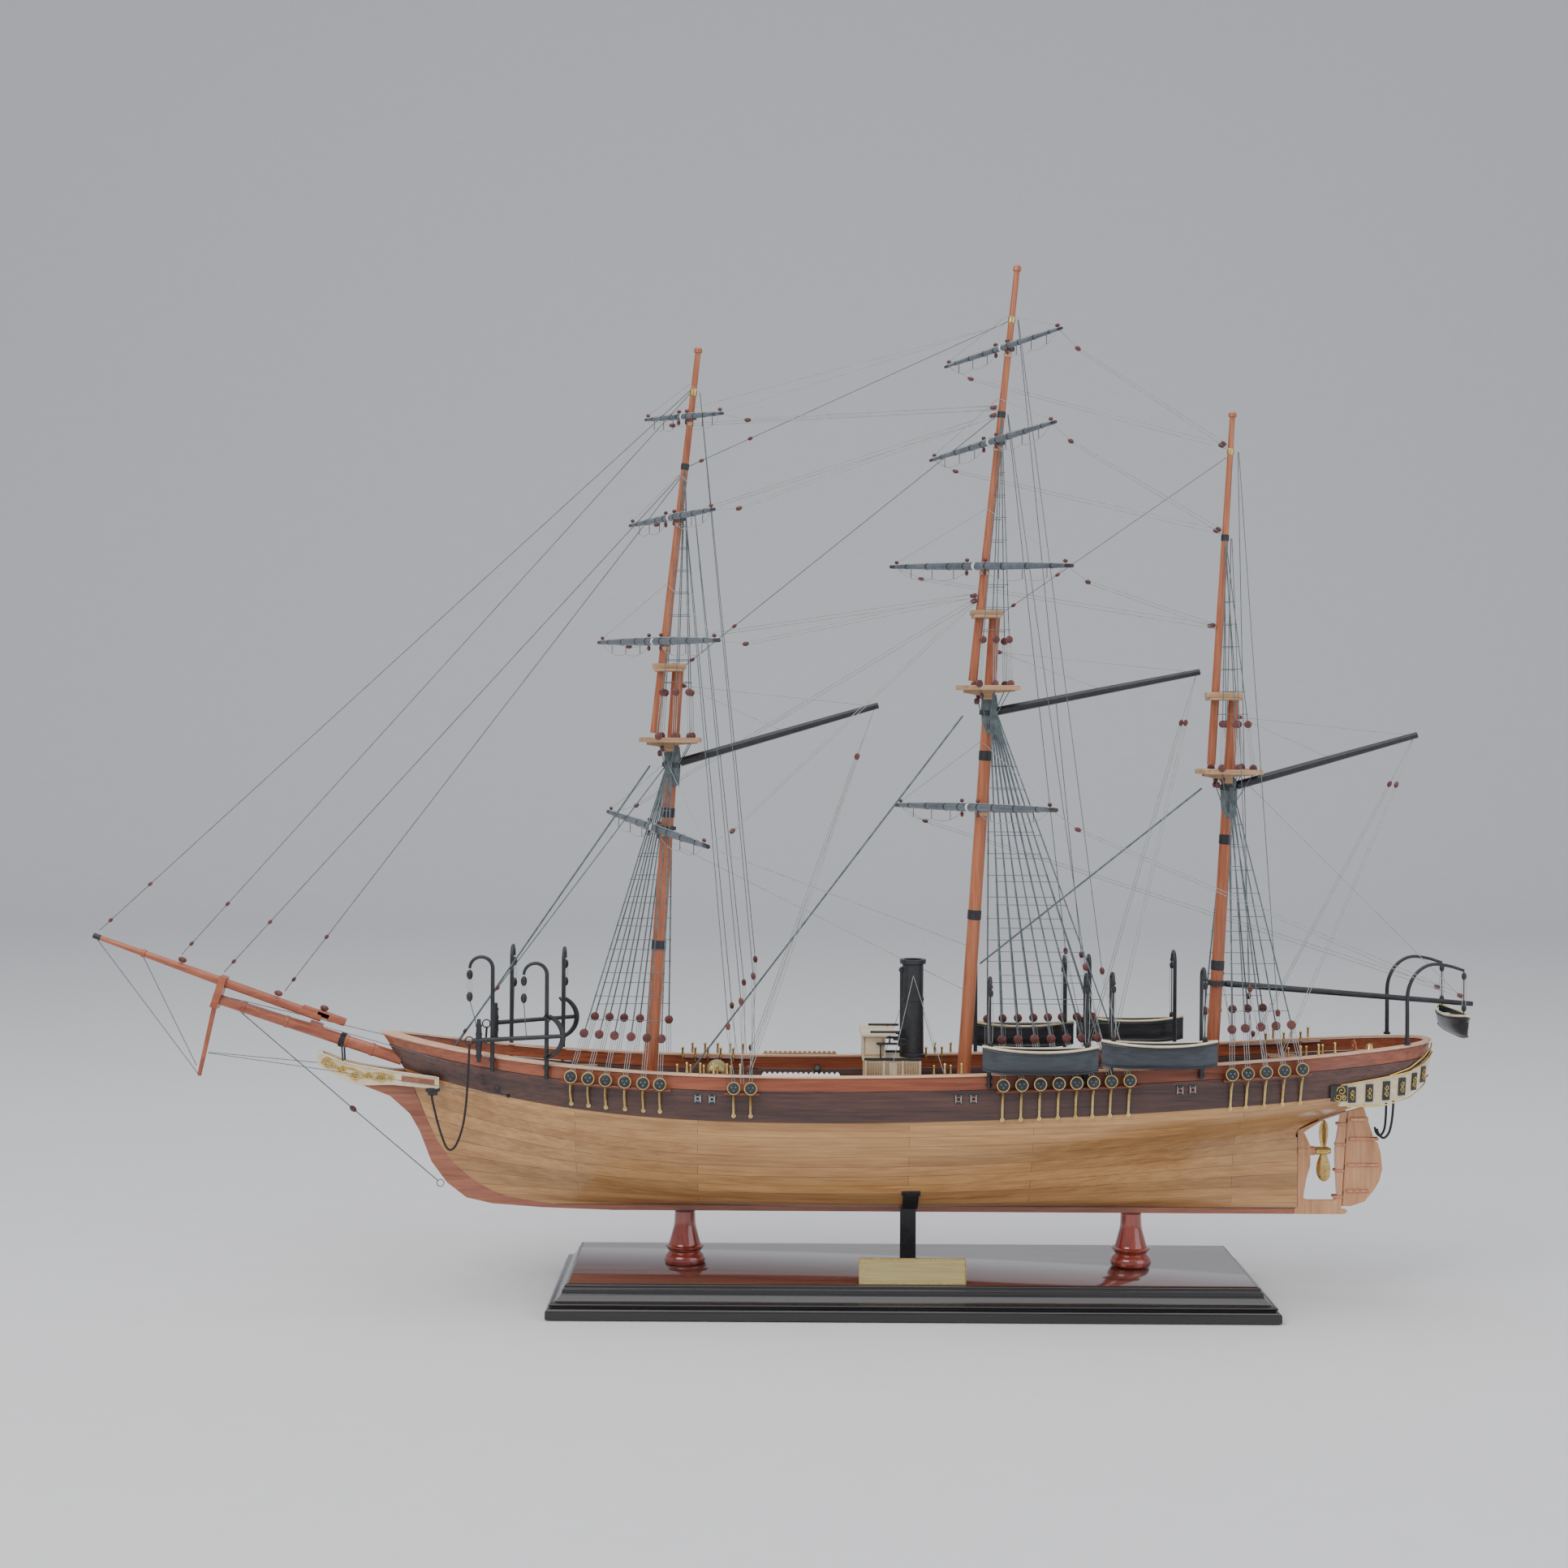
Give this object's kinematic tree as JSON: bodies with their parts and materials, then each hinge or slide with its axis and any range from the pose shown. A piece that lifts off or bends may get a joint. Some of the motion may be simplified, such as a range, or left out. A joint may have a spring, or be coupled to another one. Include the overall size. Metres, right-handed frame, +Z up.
{
  "type": "sailing ship display model",
  "caption": "Wooden display model of a steam and sail ship on a moulded plinth, with a turning screw, a swinging rudder, and yards, gaffs and boom that swing on the masts.",
  "frame": {"origin": "middle of the plinth's underside, on the surface that the model stands on", "axes": "+X towards the bow, +Y to port, +Z up"},
  "size_m": [0.8494, 0.2288, 0.6343],
  "materials": {
    "black_moulding": "black lacquered moulding, rosewood top under gloss varnish",
    "mahogany_gloss": "turned mahogany, high gloss varnish",
    "black_paint": "satin black paint",
    "bare_brass": "polished brass, left bare",
    "honey_planking": "honey-coloured planks, satin varnish",
    "dark_planking": "dark stained planks, satin varnish",
    "red_planking": "red mahogany planks, satin varnish",
    "cream_paint": "cream paint",
    "deck_planking": "brown deck planks",
    "red_brown_wood": "red-brown keel timber, satin varnish",
    "rudder_wood": "light wood with copper-coloured straps",
    "mast_wood": "orange-brown varnished dowel with black bands",
    "top_wood": "tan wood with dark edges",
    "spar_slate": "slate blue-grey paint",
    "black_spar": "satin black paint",
    "deadeye_black": "black wood with brass straps",
    "stay_thread": "waxed grey thread",
    "cable_black": "black cord"
  },
  "bodies": {
    "ship": {"anchor_cable_port": "cable_black", "anchor_cable_starboard": "cable_black", "anchor_port": "black_paint", "anchor_starboard": "black_paint", "blank_plate": "bare_brass", "bowsprit": "mast_wood", "bridge_house": "cream_paint", "deck": "deck_planking", "fore_channel_port": "deadeye_black", "fore_channel_starboard": "deadeye_black", "fore_lower_mast": "mast_wood", "fore_stay": "stay_thread", "fore_top": "top_wood", "fore_topmast": "mast_wood", "funnel": "black_paint", "head_boards": "cream_paint", "hull_planking": "honey_planking", "hull_upper_strake": "red_planking", "hull_wale": "dark_planking", "jib_boom": "mast_wood", "keel_and_stem": "red_brown_wood", "keel_strap": "black_paint", "main_channel_port": "deadeye_black", "main_channel_starboard": "deadeye_black", "main_lower_mast": "mast_wood", "main_stay": "stay_thread", "main_top": "top_wood", "main_topmast": "mast_wood", "mizzen_channel_port": "deadeye_black", "mizzen_channel_starboard": "deadeye_black", "mizzen_lower_mast": "mast_wood", "mizzen_stay": "stay_thread", "mizzen_top": "top_wood", "mizzen_topmast": "mast_wood", "pedestal_aft": "mahogany_gloss", "pedestal_fore": "mahogany_gloss", "plinth": "black_moulding", "quarter_boat_port": "black_spar", "quarter_boat_starboard": "black_spar", "rail_cap": "cream_paint", "stern_boat": "black_spar", "stern_frame": "red_brown_wood", "stern_gallery": "cream_paint", "waist_boat_port": "black_spar", "waist_boat_starboard": "black_spar"},
    "fore_course_yard": {"fore_course_yard": "spar_slate"},
    "fore_royal_yard": {"fore_royal_yard": "spar_slate"},
    "fore_topgallant_yard": {"fore_topgallant_yard": "spar_slate"},
    "fore_topsail_yard": {"fore_topsail_yard": "spar_slate"},
    "main_course_yard": {"main_course_yard": "spar_slate"},
    "main_royal_yard": {"main_royal_yard": "spar_slate"},
    "main_topgallant_yard": {"main_topgallant_yard": "spar_slate"},
    "main_topsail_yard": {"main_topsail_yard": "spar_slate"},
    "fore_gaff": {"fore_gaff": "black_spar"},
    "main_gaff": {"main_gaff": "black_spar"},
    "mizzen_gaff": {"mizzen_gaff": "black_spar"},
    "spanker_boom": {"spanker_boom": "black_spar"},
    "rudder": {"rudder": "rudder_wood"},
    "screw": {"screw": "bare_brass"}
  },
  "joints": [
    {"name": "screw_spin", "type": "hinge", "parent": "ship", "child": "screw", "pos_m": [-0.2555, 0, 0.0902], "axis": [1, 0, 0], "continuous": true},
    {"name": "rudder_swing", "type": "hinge", "parent": "ship", "child": "rudder", "pos_m": [-0.2677, 0, 0.0548], "axis": [-0.0524, 0, 0.9986], "range_deg": [-35, 35]},
    {"name": "spanker_boom_swing", "type": "hinge", "parent": "ship", "child": "spanker_boom", "pos_m": [-0.1891, 0, 0.1931], "axis": [-0.0553, 0, 0.9985], "range_deg": [-8, 8]},
    {"name": "fore_gaff_swing", "type": "hinge", "parent": "ship", "child": "fore_gaff", "pos_m": [0.14719, 0, 0.3254], "axis": [-0.0638, 0, 0.998], "range_deg": [-15, 15]},
    {"name": "main_gaff_swing", "type": "hinge", "parent": "ship", "child": "main_gaff", "pos_m": [-0.04764, 0, 0.3584], "axis": [-0.0626, 0, 0.998], "range_deg": [-15, 15]},
    {"name": "mizzen_gaff_swing", "type": "hinge", "parent": "ship", "child": "mizzen_gaff", "pos_m": [-0.19575, 0, 0.3132], "axis": [-0.0553, 0, 0.9985], "range_deg": [-15, 15]},
    {"name": "fore_course_yard_brace", "type": "hinge", "parent": "ship", "child": "fore_course_yard", "pos_m": [0.14967, 0, 0.2866], "axis": [-0.0638, 0, 0.998], "range_deg": [-10, 10]},
    {"name": "fore_royal_yard_brace", "type": "hinge", "parent": "ship", "child": "fore_royal_yard", "pos_m": [0.13656, 0, 0.5393], "axis": [-0.1075, 0, 0.9942], "range_deg": [-10, 10]},
    {"name": "fore_topgallant_yard_brace", "type": "hinge", "parent": "ship", "child": "fore_topgallant_yard", "pos_m": [0.14329, 0, 0.4771], "axis": [-0.1075, 0, 0.9942], "range_deg": [-10, 10]},
    {"name": "fore_topsail_yard_brace", "type": "hinge", "parent": "ship", "child": "fore_topsail_yard", "pos_m": [0.15151, 0, 0.4011], "axis": [-0.1075, 0, 0.9942], "range_deg": [-10, 10]},
    {"name": "main_course_yard_brace", "type": "hinge", "parent": "ship", "child": "main_course_yard", "pos_m": [-0.04399, 0, 0.3003], "axis": [-0.0626, 0, 0.998], "range_deg": [-10, 10]},
    {"name": "main_royal_yard_brace", "type": "hinge", "parent": "ship", "child": "main_royal_yard", "pos_m": [-0.05884, 0, 0.5825], "axis": [-0.1014, 0, 0.9948], "range_deg": [-10, 10]},
    {"name": "main_topgallant_yard_brace", "type": "hinge", "parent": "ship", "child": "main_topgallant_yard", "pos_m": [-0.05296, 0, 0.5248], "axis": [-0.1014, 0, 0.9948], "range_deg": [-10, 10]},
    {"name": "main_topsail_yard_brace", "type": "hinge", "parent": "ship", "child": "main_topsail_yard", "pos_m": [-0.04517, 0, 0.4484], "axis": [-0.1014, 0, 0.9948], "range_deg": [-10, 10]}
  ]
}
